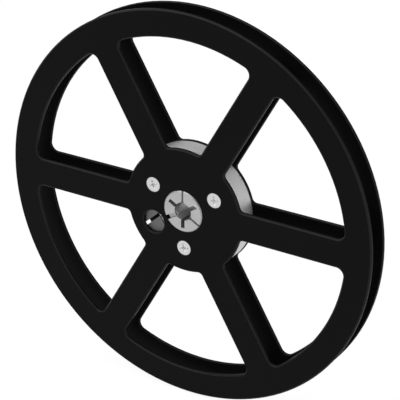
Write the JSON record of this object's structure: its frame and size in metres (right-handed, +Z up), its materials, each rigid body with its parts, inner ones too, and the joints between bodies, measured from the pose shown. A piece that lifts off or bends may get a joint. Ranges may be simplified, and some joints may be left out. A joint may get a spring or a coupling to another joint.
{
  "type": "audio tape reel",
  "caption": "Open tape reel: spoked black metal flanges with windows, screwed to a slotted silver hub with a keyed spindle bush.",
  "frame": {"origin": "on the reel's axis, halfway between the flanges, at the middle of the spindle bore", "axes": "+Y along the axis towards the rear flange, +Z up, +X to the right as seen from the front; the threading hole lies at 210 degrees from +X towards +Z"},
  "size_m": [0.178, 0.0132, 0.178],
  "materials": {
    "flange": "matt black paint",
    "hub": "satin turned",
    "bush": "matt, bead blasted",
    "screw": "bright plated"
  },
  "bodies": {
    "root": {"front_flange": "flange", "rear_flange": "flange", "hub": "hub", "spindle_bush": "bush", "front_screw_right": "screw", "front_screw_left": "screw", "front_screw_bottom": "screw", "rear_screw_right": "screw", "rear_screw_left": "screw", "rear_screw_bottom": "screw"}
  },
  "joints": []
}
